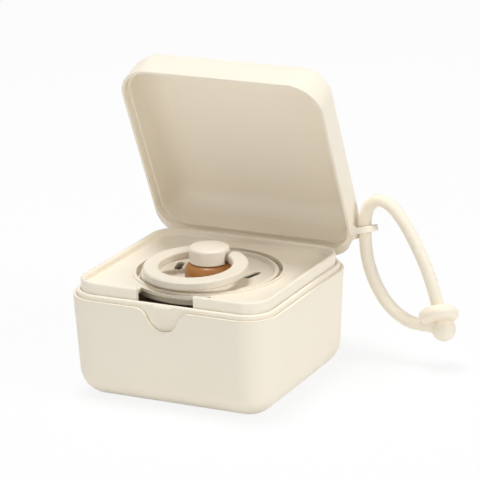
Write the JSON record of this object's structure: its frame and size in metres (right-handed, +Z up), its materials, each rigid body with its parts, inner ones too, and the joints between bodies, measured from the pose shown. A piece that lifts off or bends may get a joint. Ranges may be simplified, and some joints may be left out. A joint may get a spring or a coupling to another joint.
{
  "type": "pacifier sterilizer case",
  "caption": "Box-shaped sterilizing case with a hinged domed lid, a water basin, a lift-out tray holding a ring-handled pacifier, and a looped carrying strap.",
  "frame": {"origin": "centre of the case's plan, on the flat underside of its foot", "axes": "+Z up, +Y to the back where the hinge is, +X to the right along the front, the side the strap hangs on"},
  "size_m": [0.1078, 0.0824, 0.1023],
  "materials": {
    "case_plastic": "satin moulded",
    "tray_plastic": "satin moulded",
    "strap_rubber": "matte",
    "pacifier_plastic": "soft gloss",
    "teat_rubber": "translucent gloss",
    "pin_steel": "drawn wire"
  },
  "bodies": {
    "base": {"outer_shell": "case_plastic", "inner_basin": "case_plastic", "hinge_pin": "pin_steel"},
    "tray": {"tray": "tray_plastic"},
    "lid": {"lid": "case_plastic"},
    "strap": {"strap_cord": "strap_rubber", "strap_tab": "strap_rubber", "strap_ball": "strap_rubber"},
    "pacifier": {"pacifier_shield": "pacifier_plastic", "pacifier_nipple": "teat_rubber", "pacifier_plug": "pacifier_plastic"},
    "pacifier_ring": {"pacifier_ring": "pacifier_plastic"}
  },
  "joints": [
    {"name": "lid_hinge", "type": "hinge", "parent": "base", "child": "lid", "pos_m": [0, 0.0365, 0.0345], "axis": [-1, 0, 0], "range_deg": [-65.7, 49.3]},
    {"name": "strap_swivel", "type": "hinge", "parent": "lid", "child": "strap", "pos_m": [0.03915, 0.03654, 0.04461], "axis": [0, 0, 1], "range_deg": [-70, 70]},
    {"name": "tray_lift", "type": "slide", "parent": "base", "child": "tray", "axis": [0, 0, 1], "range_m": [0, 0.028]},
    {"name": "pacifier_lift", "type": "slide", "parent": "tray", "child": "pacifier", "axis": [0, 0, 1], "range_m": [0, 0.032]},
    {"name": "ring_pivot", "type": "hinge", "parent": "pacifier", "child": "pacifier_ring", "pos_m": [0, 0.00274, 0.04145], "axis": [-1, 0, 0], "range_deg": [-1, 100]}
  ]
}
